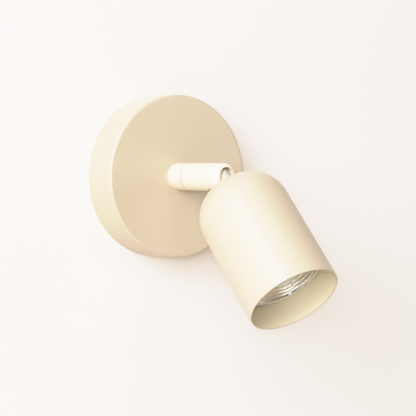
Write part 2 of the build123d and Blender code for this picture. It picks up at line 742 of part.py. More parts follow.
# Lampholder body: a ceramic cup with an arc-shaped chamber for each lamp pin's head
pin_circle = pin_spacing / 2
pin_starts = (0, 180)
chamber_floor = holder_back + holder_floor
with BuildPart() as lampholder_body:
    with BuildSketch(along_head(holder_back)):
        Circle(holder_radius)
    extrude(amount=holder_body_height)
    for start in pin_starts:
        with BuildSketch(along_head(holder_split)):
            with BuildLine() as pin_arc:
                CenterArc((0, 0), pin_circle, start, lamp_twist)
            SlotArc(pin_arc.edges()[0], pin_head_diameter + 2 * pin_clearance)
        extrude(amount=-(holder_split - chamber_floor), mode=Mode.SUBTRACT)
    with BuildSketch(along_head(holder_back)):
        with GridLocations(holder_lead_spacing, 0, 2, 1):
            Circle(lead_radius + hole_clearance)
    extrude(amount=holder_floor, mode=Mode.SUBTRACT)
    with BuildSketch(along_head(holder_back)):
        with GridLocations(holder_screw_spacing, 0, 2, 1):
            Circle(holder_screw_diameter / 2 + thread_clearance)
    extrude(amount=holder_screw_engagement, mode=Mode.SUBTRACT)
lampholder_body.part.label = "lampholder_body"
export_step(lampholder_body.part, "parts/lampholder_body.step")

# Lampholder face: a ceramic disc with two keyhole arcs, wide where the pin heads enter
with BuildPart() as lampholder_face:
    with BuildSketch(along_head(holder_split)):
        Circle(holder_radius)
        for start in pin_starts:
            with BuildLine() as pin_arc:
                CenterArc((0, 0), pin_circle, start, lamp_twist)
            SlotArc(pin_arc.edges()[0], pin_neck_diameter + 2 * pin_clearance, mode=Mode.SUBTRACT)
            with PolarLocations(pin_circle, 1, start_angle=start + lamp_twist):
                Circle(pin_head_diameter / 2 + pin_clearance, mode=Mode.SUBTRACT)
    extrude(amount=holder_face_thickness)
lampholder_face.part.label = "lampholder_face"
export_step(lampholder_face.part, "parts/lampholder_face.step")

# Contacts: a bronze leaf on the floor of each chamber
contact_level = lamp_back - face_gap - holder_face_thickness - pin_clearance - pin_head_length - contact_gap
with BuildPart() as lamp_contacts:
    for start in pin_starts:
        with BuildSketch(along_head(contact_level)):
            with BuildLine() as leaf_arc:
                CenterArc((0, 0), pin_circle, start, lamp_twist)
            SlotArc(leaf_arc.edges()[0], contact_width)
        extrude(amount=-contact_thickness)
lamp_contacts.part.label = "lamp_contacts"
export_step(lamp_contacts.part, "parts/lamp_contacts.step")

# Lampholder screws: through the strap's feet into the ceramic body
with BuildPart() as holder_screws:
    with BuildSketch(along_head(foot_back)):
        with GridLocations(holder_screw_spacing, 0, 2, 1):
            Circle(holder_screw_diameter / 2)
    extrude(amount=strap_thickness + holder_screw_engagement - face_gap)
    with BuildSketch(along_head(foot_back)):
        with GridLocations(holder_screw_spacing, 0, 2, 1):
            Circle(holder_screw_head_diameter / 2)
    extrude(amount=-holder_screw_head_height)
holder_screws.part.label = "holder_screws"
export_step(holder_screws.part, "parts/holder_screws.step")

# Lamp pins: a neck through the keyhole and a wider head behind it
pin_neck_length = face_gap + holder_face_thickness + pin_clearance
with BuildPart() as lamp_pins:
    for start in pin_starts:
        with BuildSketch(along_head(lamp_back)):
            with PolarLocations(pin_circle, 1, start_angle=start):
                Circle(pin_neck_diameter / 2)
        extrude(amount=-pin_neck_length)
        with BuildSketch(along_head(lamp_back - pin_neck_length)):
            with PolarLocations(pin_circle, 1, start_angle=start):
                Circle(pin_head_diameter / 2)
        extrude(amount=-pin_head_length)
lamp_pins.part.label = "lamp_pins"
export_step(lamp_pins.part, "parts/lamp_pins.step")

# Lamp base: a ceramic plug that carries the pins and the reflector
with BuildPart() as lamp_base:
    with BuildSketch(along_head(lamp_back)):
        Circle(lamp_base_diameter / 2)
    extrude(amount=lamp_base_length)
    chamfer(lamp_base.edges().filter_by(GeomType.CIRCLE), edge_break)
lamp_base.part.label = "lamp_base"
export_step(lamp_base.part, "parts/lamp_base.step")

# Reflector: a glass bowl with a flange, faceted inside in rings of flat panels
glass_back = lamp_front - cover_glass_sink - cover_glass_thickness
facet_floor = reflector_back + reflector_floor
facet_growth = reflector_mouth_diameter - reflector_throat_diameter
with BuildPart() as lamp_reflector:
    with BuildSketch(head_section):
        with BuildLine():
            bowl = ThreePointArc(
                (reflector_neck_diameter / 2, reflector_back),
                (reflector_belly_diameter / 2, reflector_back + reflector_belly_rise),
                (reflector_shoulder_diameter / 2, lamp_front - rim_thickness),
            )
            Polyline(
                bowl @ 1,
                (lamp_radius, lamp_front - rim_thickness),
                (lamp_radius, lamp_front),
                (0, lamp_front),
                (0, reflector_back),
                bowl @ 0,
            )
        make_face()
    revolve(axis=head_axis)
    with BuildSketch(along_head(glass_back)):
        Circle(cover_glass_diameter / 2 + hole_clearance)
    extrude(amount=lamp_front - glass_back, mode=Mode.SUBTRACT)
    for ring in range(facet_rings + 1):
        share = (ring / facet_rings) ** facet_spread
        facet_diameter = reflector_throat_diameter + share * facet_growth
        with BuildSketch(along_head(facet_floor + share**2 * (glass_back - facet_floor))):
            RegularPolygon(facet_diameter / 2, facet_sides)
    loft(ruled=True, mode=Mode.SUBTRACT)
    with BuildSketch(along_head(reflector_back)):
        Circle(burner_diameter / 2 + burner_clearance)
    extrude(amount=reflector_floor, mode=Mode.SUBTRACT)
lamp_reflector.part.label = "lamp_reflector"
export_step(lamp_reflector.part, "parts/lamp_reflector.step")

# Burner: a quartz capsule that stands on the base in the reflector's throat
burner_radius = burner_diameter / 2
burner_shoulder = reflector_back + burner_length - burner_radius
with BuildPart() as lamp_burner:
    with BuildSketch(head_section):
        with BuildLine():
            tip = CenterArc((0, burner_shoulder), burner_radius, 0, 90)
            Polyline(tip @ 1, (0, reflector_back), (burner_radius, reflector_back), tip @ 0)
        make_face()
    revolve(axis=head_axis)
lamp_burner.part.label = "lamp_burner"
export_step(lamp_burner.part, "parts/lamp_burner.step")

# Cover glass: a clear disc let into the reflector's rim
with BuildPart() as lamp_glass:
    with BuildSketch(along_head(glass_back)):
        Circle(cover_glass_diameter / 2)
    extrude(amount=cover_glass_thickness)
lamp_glass.part.label = "lamp_glass"
export_step(lamp_glass.part, "parts/lamp_glass.step")

# Leads of the supply pair: -1 is live, on the left, and 1 is neutral
pair_sides = {"live": -1, "neutral": 1}
block_foot = block_rise - block_depth / 2
terminal_entry = block_foot + barrel_inset + lead_entry
terminal_exit = block_foot - lead_straight
pole_x = {"live": -pole_pitch, "neutral": 0, "earth": pole_pitch}


def supply_route(pole, side):
    """Points from a terminal barrel through the nipple to the front of the swivel bolt."""
    return (
        (pole_x[pole], -pole_level, terminal_entry),
        (pole_x[pole], -pole_level, terminal_exit),
        (side * lead_spread, -lead_level, 0),
        (side * lead_spread, -bolt_front, 0),
    )


def earth_route():
    """Points from the third terminal barrel into the earth tag's sleeve."""
    return (
        (pole_x["earth"], -pole_level, terminal_entry),
        (pole_x["earth"], -pole_level, terminal_exit),
        (earth_x, -sleeve_level, sleeve_foot + tag_sleeve_length + lead_straight),
        (earth_x, -sleeve_level, sleeve_foot),
    )


# Rose leads: live and neutral into the arm, earth to its tag on the bracket
rose_routes = {pole: supply_route(pole, side) for pole, side in pair_sides.items()}
rose_routes["earth"] = earth_route()
for pole, route in rose_routes.items():
    with BuildPart() as rose_lead:
        with BuildLine() as rose_path:
            FilletPolyline(*route, radius=lead_bend_radius)
        with BuildSketch(Plane(rose_path.line @ 0, z_dir=rose_path.line % 0)):
            Circle(lead_radius)
        sweep(path=rose_path.line)
    rose_lead.part.label = f"rose_lead_{pole}"
    export_step(rose_lead.part, f"parts/rose_lead_{pole}.step")

# Arm leads: the pair goes on through the barrel's bore to the back of the ball
arm_lead_length = pivot_reach - stem_radius - lead_straight / 2 - bolt_front
for pole, side in pair_sides.items():
    with BuildPart() as arm_lead:
        with BuildSketch(from_wall(bolt_front + face_gap, x=side * lead_spread)):
            Circle(lead_radius)
        extrude(amount=arm_lead_length)
    arm_lead.part.label = f"arm_lead_{pole}"
    export_step(arm_lead.part, f"parts/arm_lead_{pole}.step")

# Head leads: out of the stem's bore and round to the holes in the lampholder's back
lead_turn = spigot_end + holder_gap / 2
head_bend_radius = holder_gap / 2 - hole_clearance
for pole, side in pair_sides.items():
    bore_x = side * lead_spread
    holder_x = side * holder_lead_spacing / 2
    stations = (
        (bore_x, pivot_screw_diameter),
        (bore_x, lead_turn),
        (holder_x, lead_turn),
        (holder_x, chamber_floor - face_gap),
    )
    with BuildPart() as head_lead:
        with BuildLine() as head_path:
            route = [head_section.from_local_coords(Vector(*station)) for station in stations]
            FilletPolyline(*route, radius=head_bend_radius)
        with BuildSketch(Plane(head_path.line @ 0, z_dir=head_path.line % 0)):
            Circle(lead_radius)
        sweep(path=head_path.line)
    head_lead.part.label = f"head_lead_{pole}"
    export_step(head_lead.part, f"parts/head_lead_{pole}.step")
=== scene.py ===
import json
from math import cos, pi, radians, sin

import bmesh
import bpy
from mathutils import Matrix, Vector


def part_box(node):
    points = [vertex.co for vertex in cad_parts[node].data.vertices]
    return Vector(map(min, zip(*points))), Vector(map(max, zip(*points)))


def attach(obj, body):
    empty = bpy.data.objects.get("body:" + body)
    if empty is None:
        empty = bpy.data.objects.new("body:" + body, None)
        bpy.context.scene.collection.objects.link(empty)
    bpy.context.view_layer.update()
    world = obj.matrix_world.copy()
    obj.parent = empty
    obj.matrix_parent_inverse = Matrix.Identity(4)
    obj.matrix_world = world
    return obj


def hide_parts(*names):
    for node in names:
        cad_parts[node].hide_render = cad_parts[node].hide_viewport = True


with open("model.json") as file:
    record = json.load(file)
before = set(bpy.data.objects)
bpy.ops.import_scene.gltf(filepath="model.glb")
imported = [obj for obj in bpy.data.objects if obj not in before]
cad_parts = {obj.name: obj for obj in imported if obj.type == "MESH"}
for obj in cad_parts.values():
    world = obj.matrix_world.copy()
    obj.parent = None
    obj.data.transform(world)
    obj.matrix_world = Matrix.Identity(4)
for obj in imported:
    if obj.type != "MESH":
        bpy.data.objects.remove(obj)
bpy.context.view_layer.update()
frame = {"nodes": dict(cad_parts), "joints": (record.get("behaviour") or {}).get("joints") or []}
nodes = frame["nodes"]

# Wall bracket: a cross stamped from steel sheet, its ends bent forward as tabs for the rose's screws.
# It is barrel plated with zinc, so the rolling grain shows through a dull, faintly mottled coat.
# A grain is drawn out along the axis with the small stretch. Most of a noise lies from low to high.
even = (1.0, 1.0, 1.0)
drawn_across = (0.06, 1.0, 1.0)
drawn_outwards = (1.0, 0.1, 1.0)
drawn_upwards = (1.0, 1.0, 0.1)
noise_low = 0.3
noise_high = 0.7


def step(tree, kind, feeds=None, **options):
    """One node of a tree. A feed is a plain value or another node's output."""
    node = tree.nodes.new(kind)
    for option, choice in options.items():
        setattr(node, option, choice)
    for label, feed in (feeds or {}).items():
        if isinstance(feed, bpy.types.NodeSocket):
            tree.links.new(feed, node.inputs[label])
        else:
            node.inputs[label].default_value = feed
    return node


def new_finish(name, metallic=0.0):
    """A material with one principled shader, returned with its tree and that shader."""
    material = bpy.data.materials.new(name)
    material.use_nodes = True
    shader = material.node_tree.nodes["Principled BSDF"]
    shader.inputs["Metallic"].default_value = metallic
    return material, material.node_tree, shader


def grain(tree, scale, detail, stretch=even):
    """Noise fixed to the piece."""
    place = step(tree, "ShaderNodeTexCoord").outputs["Object"]
    turned = step(tree, "ShaderNodeMapping", {"Vector": place, "Scale": stretch})
    noise = {"Vector": turned.outputs[0], "Scale": scale, "Detail": detail}
    return step(tree, "ShaderNodeTexNoise", noise).outputs["Fac"]


def tint(tree, shader, factor, dark, light):
    """Base colour that goes from one shade to the other with a factor."""
    feeds = {0: factor, 6: (*dark, 1.0), 7: (*light, 1.0)}
    mix = step(tree, "ShaderNodeMix", feeds, data_type="RGBA")
    tree.links.new(mix.outputs[2], shader.inputs["Base Color"])


def vary_gloss(tree, shader, factor, smooth, rough):
    """Roughness that drifts between two values over the middle of a noise's range."""
    spread = {"Value": factor, "From Min": noise_low, "From Max": noise_high}
    spread |= {"To Min": smooth, "To Max": rough}
    spread_out = step(tree, "ShaderNodeMapRange", spread).outputs[0]
    tree.links.new(spread_out, shader.inputs["Roughness"])


def relief(tree, shader, height, depth):
    """Fine surface relief, with its depth in metres."""
    bump = step(tree, "ShaderNodeBump", {"Height": height, "Strength": 1.0, "Distance": depth})
    tree.links.new(bump.outputs["Normal"], shader.inputs["Normal"])


def zinc_plate(name, stretch):
    """Dull zinc over steel: rolling or turning marks, and a trace of blue and straw in the plating."""
    material, tree, shader = new_finish(name, metallic=1.0)
    marks = grain(tree, scale=1600, detail=3, stretch=stretch)
    mottle = grain(tree, scale=160, detail=4)
    tint(tree, shader, mottle, dark=(0.56, 0.59, 0.62), light=(0.74, 0.72, 0.67))
    vary_gloss(tree, shader, marks, smooth=0.27, rough=0.47)
    relief(tree, shader, marks, depth=0.000006)
    return material


def dress(material, *names):
    """Gives CAD nodes their finish."""
    for name in names:
        for slot in nodes[name].material_slots:
            slot.material = material


plated_sheet = zinc_plate("plated_sheet", drawn_across)
dress(plated_sheet, "wall_bracket")

# Terminal block: moulded in white nylon, with three brass barrels pushed in and six brass grub screws.
# Two plated cheese-head screws between its poles hold it to the bracket's upper arm.


def moulded_nylon(name, dark, light, smooth, rough):
    """Injection moulded nylon with a spark-eroded tool texture."""
    material, tree, shader = new_finish(name)
    texture = grain(tree, scale=5200, detail=2)
    tint(tree, shader, grain(tree, scale=220, detail=3), dark, light)
    vary_gloss(tree, shader, texture, smooth, rough)
    relief(tree, shader, texture, depth=0.000008)
    return material


def turned_metal(name, dark, light, smooth, rough, stretch=even):
    """Bare metal with fine tool marks and slightly uneven tarnish."""
    material, tree, shader = new_finish(name, metallic=1.0)
    marks = grain(tree, scale=3800, detail=2, stretch=stretch)
    tint(tree, shader, grain(tree, scale=420, detail=4), dark, light)
    vary_gloss(tree, shader, marks, smooth, rough)
    relief(tree, shader, marks, depth=0.000004)
    return material


white_nylon = moulded_nylon(
    "white_nylon",
    dark=(0.70, 0.70, 0.67),
    light=(0.80, 0.80, 0.77),
    smooth=0.36,
    rough=0.52,
)
turned_brass = turned_metal(
    "turned_brass",
    dark=(0.58, 0.40, 0.15),
    light=(0.79, 0.58, 0.25),
    smooth=0.18,
    rough=0.36,
    stretch=drawn_upwards,
)
turned_steel = zinc_plate("turned_steel", drawn_outwards)
dress(white_nylon, "terminal_block")
dress(turned_brass, "terminal_barrels", "terminal_screws")
dress(turned_steel, "block_screws")

# Earth point: a tinned brass ring terminal under a plated screw on the bracket's hub.
# Its sleeve is crimped round the earth lead.
tinned_brass = turned_metal(
    "tinned_brass",
    dark=(0.62, 0.56, 0.44),
    light=(0.78, 0.73, 0.62),
    smooth=0.24,
    rough=0.42,
)
dress(tinned_brass, "earth_tag")
dress(turned_steel, "earth_screw")

# Rose: a deep-drawn steel cup, powder coated cream inside and out and stoved to a satin finish.
# Two painted set screws through its rim hold it to the bracket's tabs.
cream_low = (0.447, 0.364, 0.250)
cream_high = (0.473, 0.388, 0.272)
base_gloss = 0.7
film_weight = 0.3
film_index = 1.6
film_roughness = 0.27


def powder_coat(name, dark, light):
    """Satin powder coat: an even colour with a faint cloud in it, and fine orange peel."""
    material, tree, shader = new_finish(name)
    peel = grain(tree, scale=900, detail=1)
    tint(tree, shader, grain(tree, scale=45, detail=2), dark, light)
    vary_gloss(tree, shader, peel, smooth=0.46, rough=0.52)
    relief(tree, shader, peel, depth=0.000002)
    shader.inputs["Specular IOR Level"].default_value = base_gloss
    shader.inputs["Coat Weight"].default_value = film_weight
    shader.inputs["Coat Roughness"].default_value = film_roughness
    shader.inputs["Coat IOR"].default_value = film_index
    return material


cream_coat = powder_coat("cream_coat", cream_low, cream_high)
dress(cream_coat, "rose_cover", "cover_screws")

# Nipple, lock washer and nut: plated turned parts that clamp the rose's face to the arm's collar.
# The leads pass through the nipple's bore.
dress(turned_steel, "base_nipple", "lock_washer", "nipple_locknut")

# Swivel: a fixed collar and a hollow bolt, with a dowel that stops the arm after most of a turn.
# The collar is turned steel in a paler cream than the rose, which is painted light: the arm stands in
# brighter light.
# Its bearing face is painted near black: painted shade in the seam.
# A thin nylon washer fills the seam between the collar and the barrel.
# The paler cream is a lighter copy of the rose's cream: painted light for the arm standing in brighter
# light.
lit_cream_low = (0.697, 0.580, 0.434)
lit_cream_high = (0.727, 0.608, 0.457)
# Near black: painted shade in the seam's gap between collar and barrel.
painted_gap_shade = (0.09, 0.085, 0.08)
mask_overlap = 0.0001


def paint_gap_shade(material, level, gap_shade_colour):
    """Paints a near-black colour past a level out from the wall: painted shade in the seam at the
    collar's bearing face.
    """
    tree = material.node_tree
    colour = tree.nodes["Principled BSDF"].inputs["Base Color"]
    place = step(tree, "ShaderNodeTexCoord").outputs["Object"]
    out = step(tree, "ShaderNodeSeparateXYZ", {0: place}).outputs["Y"]
    past = step(tree, "ShaderNodeMath", {0: out, 1: level}, operation="LESS_THAN").outputs[0]
    coat = colour.links[0].from_socket
    mix = step(tree, "ShaderNodeMix", {0: past, 6: coat, 7: (*gap_shade_colour, 1.0)}, data_type="RGBA")
    tree.links.new(mix.outputs[2], colour)


black_nylon = moulded_nylon(
    "black_nylon",
    dark=(0.030, 0.029, 0.028),
    light=(0.050, 0.048, 0.046),
    smooth=0.40,
    rough=0.58,
)
lit_cream_coat = powder_coat("lit_cream_coat", lit_cream_low, lit_cream_high)
collar_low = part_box("swivel_collar")[0]
collar_lit_coat_and_gap_shade = powder_coat("collar_lit_coat_and_gap_shade", lit_cream_low, lit_cream_high)
paint_gap_shade(collar_lit_coat_and_gap_shade, collar_low[1] + mask_overlap, painted_gap_shade)
dress(collar_lit_coat_and_gap_shade, "swivel_collar")
dress(black_nylon, "thrust_washer")
dress(turned_steel, "swivel_bolt", "swivel_spring", "stop_pin")

# Arm barrel: a bored steel bar with a rounded end and a round-topped slot, in the collar's paler cream,
# painted light.
# The ball-ended stem tilts in the slot on a cross screw, between two nylon friction washers.
# The stem's coat is a darker, greyer copy of the cream: painted shade for the ball sunk in the slot.
shaded_stem_low = (0.365, 0.340, 0.245)
shaded_stem_high = (0.395, 0.370, 0.275)
grey_nylon = moulded_nylon(
    "grey_nylon",
    dark=(0.46, 0.42, 0.35),
    light=(0.52, 0.48, 0.41),
    smooth=0.40,
    rough=0.58,
)
dress(lit_cream_coat, "arm_barrel")
dress(powder_coat("shaded_stem_coat", shaded_stem_low, shaded_stem_high), "tilt_stem")
dress(grey_nylon, "friction_washers")
dress(turned_steel, "pivot_screw")

# Shade: spun from one steel disc over a former, trimmed at the mouth, then coated inside and out.
# It hangs on the stem's spigot by the small flat at its top.
joints = {joint["name"]: joint for joint in frame["joints"]}
pivot = Vector(joints["head_tilt"]["pos_m"])
head_axis = Vector(joints["lamp_twist"]["axis"])
head_turn = Vector((0, 0, 1)).rotation_difference(head_axis)
head_place = Matrix.Translation(pivot) @ head_turn.to_matrix().to_4x4()
shade_wall = 0.0010
shade_flat_radius = 0.0060
spigot_hole_radius = 0.00315
shade_lip_radius = 0.00035
shade_segments = 192
dome_steps = 32
wall_steps = 24
lip_steps = 5
weld_distance = 0.0000005
# The inside's cream is a lighter copy of the outer cream: painted light in the shade's hollow.
lit_inner_low = (0.695, 0.605, 0.410)
lit_inner_high = (0.725, 0.635, 0.440)


def reach_along_head(name):
    """A node's nearest and farthest distance from the pivot along the head's axis, and its radius."""
    offsets = [v.co - pivot for v in nodes[name].data.vertices]
    stations = [offset.dot(head_axis) for offset in offsets]
    radius = max((offset - head_axis * t).length for offset, t in zip(offsets, stations))
    return min(stations), max(stations), radius


def arc(centre, radius, start, end, steps):
    """Points of a section's arc, as (distance from the axis, distance along it), angles in degrees."""
    angles = [radians(start + (end - start) * i / steps) for i in range(steps + 1)]
    return [(centre[0] + radius * cos(a), centre[1] + radius * sin(a)) for a in angles]


def node_tree(name, inputs):
    """An empty geometry tree with named inputs, returned with its two end nodes."""
    tree = bpy.data.node_groups.new(name, "GeometryNodeTree")
    tree.interface.new_socket("Geometry", in_out="INPUT", socket_type="NodeSocketGeometry")
    for label, kind in inputs.items():
        tree.interface.new_socket(label, in_out="INPUT", socket_type="NodeSocket" + kind)
    tree.interface.new_socket("Geometry", in_out="OUTPUT", socket_type="NodeSocketGeometry")
    return tree, tree.nodes.new("NodeGroupInput"), tree.nodes.new("NodeGroupOutput")


def sums(tree, operation, first, second=0.0):
    """One arithmetic step of a tree."""
    return step(tree, "ShaderNodeMath", {0: first, 1: second}, operation=operation).outputs[0]


def spin_tree():
    """Turns a section, given as a row of points, about its axis.

    The rows from Inner From to Inner To take the inner finish. There each square of Side Steps by
    Ring Steps swells by Pillow Depth, as the facets of a pressed reflector do.
    """
    counts = ("Segments", "Side Steps", "Ring Steps", "Inner From", "Inner To")
    inputs = dict.fromkeys(counts, "Int") | {"Pillow Depth": "Float"}
    inputs |= {"Outer Finish": "Material", "Inner Finish": "Material"}
    tree, given, result = node_tree("spin", inputs)
    size = given.outputs
    half_step = 0.5
    columns = sums(tree, "ADD", size["Segments"], 1.0)
    counted = step(tree, "GeometryNodeAttributeDomainSize", {"Geometry": size["Geometry"]})
    grid = {"Vertices X": counted.outputs["Point Count"], "Vertices Y": columns}
    sheet = step(tree, "GeometryNodeMeshGrid", grid).outputs["Mesh"]
    index = step(tree, "GeometryNodeInputIndex").outputs[0]
    row = sums(tree, "FLOOR", sums(tree, "DIVIDE", sums(tree, "ADD", index, half_step), columns))
    column = sums(tree, "MODULO", index, columns)
    place = step(tree, "GeometryNodeInputPosition").outputs[0]
    sample = step(tree, "GeometryNodeSampleIndex", data_type="FLOAT_VECTOR")
    for label, feed in (("Geometry", size["Geometry"]), ("Value", place), ("Index", row)):
        tree.links.new(feed, sample.inputs[label])
    point = step(tree, "ShaderNodeSeparateXYZ", {0: sample.outputs[0]}).outputs
    after_first = sums(tree, "GREATER_THAN", row, sums(tree, "SUBTRACT", size["Inner From"], half_step))
    before_last = sums(tree, "LESS_THAN", row, sums(tree, "ADD", size["Inner To"], half_step))
    inner = sums(tree, "MULTIPLY", after_first, before_last)
    inner_row = sums(tree, "SUBTRACT", row, size["Inner From"])
    along = sums(tree, "DIVIDE", inner_row, size["Ring Steps"])
    around = sums(tree, "DIVIDE", column, size["Side Steps"])
    swell = inner
    for share in (along, around):
        wave = sums(tree, "ABSOLUTE", sums(tree, "SINE", sums(tree, "MULTIPLY", share, pi)))
        swell = sums(tree, "MULTIPLY", swell, wave)
    lift = sums(tree, "MULTIPLY", swell, size["Pillow Depth"])
    radius = sums(tree, "SUBTRACT", point["X"], lift)
    height = sums(tree, "ADD", point["Z"], lift)
    angle = sums(tree, "MULTIPLY", sums(tree, "DIVIDE", column, size["Segments"]), 2 * pi)
    x = sums(tree, "MULTIPLY", radius, sums(tree, "COSINE", angle))
    y = sums(tree, "MULTIPLY", radius, sums(tree, "SINE", angle))
    turned = step(tree, "ShaderNodeCombineXYZ", {"X": x, "Y": y, "Z": height}).outputs[0]
    moved = {"Geometry": sheet, "Position": turned}
    spun = step(tree, "GeometryNodeSetPosition", moved).outputs[0]
    outer = {"Geometry": spun, "Material": size["Outer Finish"]}
    outside = step(tree, "GeometryNodeSetMaterial", outer).outputs[0]
    by_point = {"data_type": "BOOLEAN", "domain": "POINT"}
    chosen = step(tree, "GeometryNodeFieldOnDomain", {0: inner}, **by_point).outputs[0]
    inside = {"Geometry": outside, "Selection": chosen, "Material": size["Inner Finish"]}
    coated = step(tree, "GeometryNodeSetMaterial", inside).outputs[0]
    weld = {"Geometry": coated, "Distance": weld_distance}
    closed = step(tree, "GeometryNodeMergeByDistance", weld).outputs[0]
    smooth = step(tree, "GeometryNodeSetShadeSmooth", {"Geometry": closed}).outputs[0]
    plain = step(tree, "GeometryNodeRealizeInstances", {"Geometry": smooth}).outputs[0]
    tree.links.new(plain, result.inputs[0])
    return tree


def grow(name, tree, start, inputs, place, crease=30.0):
    """Runs a tree on a start mesh and keeps the result as a plain mesh in place, faces outwards."""
    piece = bpy.data.objects.new(name, start)
    bpy.context.scene.collection.objects.link(piece)
    modifier = piece.modifiers.new("grow", "NODES")
    modifier.node_group = tree
    for item in tree.interface.items_tree:
        if item.in_out == "INPUT" and item.name in inputs:
            modifier[item.identifier] = inputs[item.name]
    grown = piece.evaluated_get(bpy.context.evaluated_depsgraph_get())
    mesh = bpy.data.meshes.new_from_object(grown)
    piece.modifiers.clear()
    piece.data = mesh
    bpy.data.meshes.remove(start)
    shell = bmesh.new()
    shell.from_mesh(mesh)
    bmesh.ops.recalc_face_normals(shell, faces=shell.faces)
    shell.to_mesh(mesh)
    shell.free()
    mesh.name = name
    mesh.transform(place)
    mesh.set_sharp_from_angle(angle=radians(crease))
    return piece


spin = spin_tree()


def turn_section(name, section, segments, outer, inner, rows=(0, 0), facet=(1, 1), depth=0.0):
    """A piece turned about the head's axis from points (distance from the axis, distance along it).

    Its inner finish and any facets lie on the rows from the first to the second of rows.
    """
    start = bpy.data.meshes.new(name + "_section")
    edges = [(i, i + 1) for i in range(len(section) - 1)]
    start.from_pydata([(r, 0.0, t) for r, t in section], edges, [])
    inputs = {
        "Segments": segments,
        "Side Steps": facet[0],
        "Ring Steps": facet[1],
        "Inner From": rows[0],
        "Inner To": rows[1],
        "Pillow Depth": depth,
        "Outer Finish": outer,
        "Inner Finish": inner,
    }
    return grow(name, spin, start, inputs, head_place)


apex, mouth, shade_radius = reach_along_head("shade")
dome_radius = shade_radius - shade_flat_radius
dome_centre = (shade_flat_radius, apex + dome_radius)
lip_out = (shade_radius - shade_lip_radius, mouth - shade_lip_radius)
lip_in = (shade_radius - shade_wall + shade_lip_radius, mouth - shade_lip_radius)
side_start = apex + dome_radius
side_length = lip_out[1] - side_start
side_points = [side_start + side_length * i / wall_steps for i in range(wall_steps)]
shade_section = [(spigot_hole_radius, apex)]
shade_section += arc(dome_centre, dome_radius, -90, 0, dome_steps)
shade_section += [(shade_radius, t) for t in side_points[1:]]
shade_section += arc(lip_out, shade_lip_radius, 0, 90, lip_steps)
shade_section += arc(lip_in, shade_lip_radius, 90, 180, lip_steps)
last_lip_row = len(shade_section) - 1
shade_section += [(shade_radius - shade_wall, t) for t in reversed(side_points[1:])]
shade_section += arc(dome_centre, dome_radius - shade_wall, 0, -90, dome_steps)
shade_section += [(spigot_hole_radius, apex + shade_wall), (spigot_hole_radius, apex)]
shade = turn_section(
    "bullet_shade",
    shade_section,
    shade_segments,
    outer=cream_coat,
    inner=powder_coat("lit_inner_coat", lit_inner_low, lit_inner_high),
    rows=(last_lip_row, len(shade_section)),
)
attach(shade, "head")
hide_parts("shade")

# Lampholder: a plated strap on the stem's spigot carries a ceramic body and face.
# Bronze leaves in the body's chambers press on the lamp's pins.


def fired_ceramic(name):
    """Unglazed steatite, off-white, with a fine chalky grain."""
    material, tree, shader = new_finish(name)
    chalk = grain(tree, scale=3000, detail=4)
    cloud = grain(tree, scale=300, detail=5)
    tint(tree, shader, cloud, dark=(0.70, 0.67, 0.61), light=(0.80, 0.77, 0.71))
    vary_gloss(tree, shader, chalk, smooth=0.55, rough=0.75)
    relief(tree, shader, chalk, depth=0.000012)
    return material


steatite = fired_ceramic("steatite")
spring_bronze = turned_metal(
    "spring_bronze",
    dark=(0.55, 0.33, 0.15),
    light=(0.72, 0.46, 0.24),
    smooth=0.20,
    rough=0.34,
)
dress(plated_sheet, "holder_strap")
dress(turned_steel, "stem_spacer", "stem_washer", "stem_nut", "holder_screws")
dress(steatite, "lampholder_body", "lampholder_face")
dress(spring_bronze, "lamp_contacts")

# Lamp: a pressed glass reflector on a ceramic base with two locking pins, closed by a clear glass.
# The bowl is faceted inside and aluminised, its mirror tinted warm as a painted reflection of the cream
# shade, and its bare glass rim shows as a pale ring.
dress(steatite, "lamp_base")
dress(turned_steel, "lamp_pins")
bowl_back, lamp_front, lamp_radius = reach_along_head("lamp_reflector")
glass_back, glass_front, glass_radius = reach_along_head("lamp_glass")
bowl_neck_radius = 0.0120
bowl_belly_radius = 0.0214
bowl_belly_rise = 0.0126
bowl_shoulder_radius = 0.0244
bowl_floor = 0.0022
bowl_steps = 20
rim_thickness = 0.0026
rim_round = 0.0003
rim_steps = 4
glass_clearance = 0.00015
throat_radius = 0.0075
throat_hole_radius = 0.0054
mirror_mouth_radius = 0.0237
mirror_flare = 1.6
facet_sides = 108
facet_rings = 13
facet_side_steps = 4
facet_ring_steps = 4
facet_depth = 0.00012


def mirror_painted_warm_reflection():
    """Vacuum aluminium on pressed glass: bright, with a slight haze from the moulded skin, tinted warm
    beige as a painted reflection of the cream shade.
    """
    material, tree, shader = new_finish("mirror_painted_warm_reflection", metallic=1.0)
    haze = grain(tree, scale=1800, detail=2)
    cloud = grain(tree, scale=120, detail=2)
    tint(tree, shader, cloud, dark=(0.86, 0.82, 0.74), light=(0.92, 0.88, 0.80))
    vary_gloss(tree, shader, haze, smooth=0.10, rough=0.18)
    return material


def rim_glass():
    """Pressed glass seen edge on over its coating: pale, faintly cloudy and satin."""
    material, tree, shader = new_finish("rim_glass")
    cloud = grain(tree, scale=350, detail=3)
    tint(tree, shader, cloud, dark=(0.70, 0.66, 0.56), light=(0.78, 0.74, 0.64))
    vary_gloss(tree, shader, cloud, smooth=0.42, rough=0.54)
    return material


def curve_through(start, middle, end, steps):
    """Points of a parabola through three section points, from start to end."""
    points = []
    for i in range(steps + 1):
        s = i / steps
        weights = ((1 - s) * (1 - 2 * s), 4 * s * (1 - s), s * (2 * s - 1))
        pulls = list(zip(weights, (start, middle, end)))
        points.append(tuple(sum(w * p[k] for w, p in pulls) for k in (0, 1)))
    return points


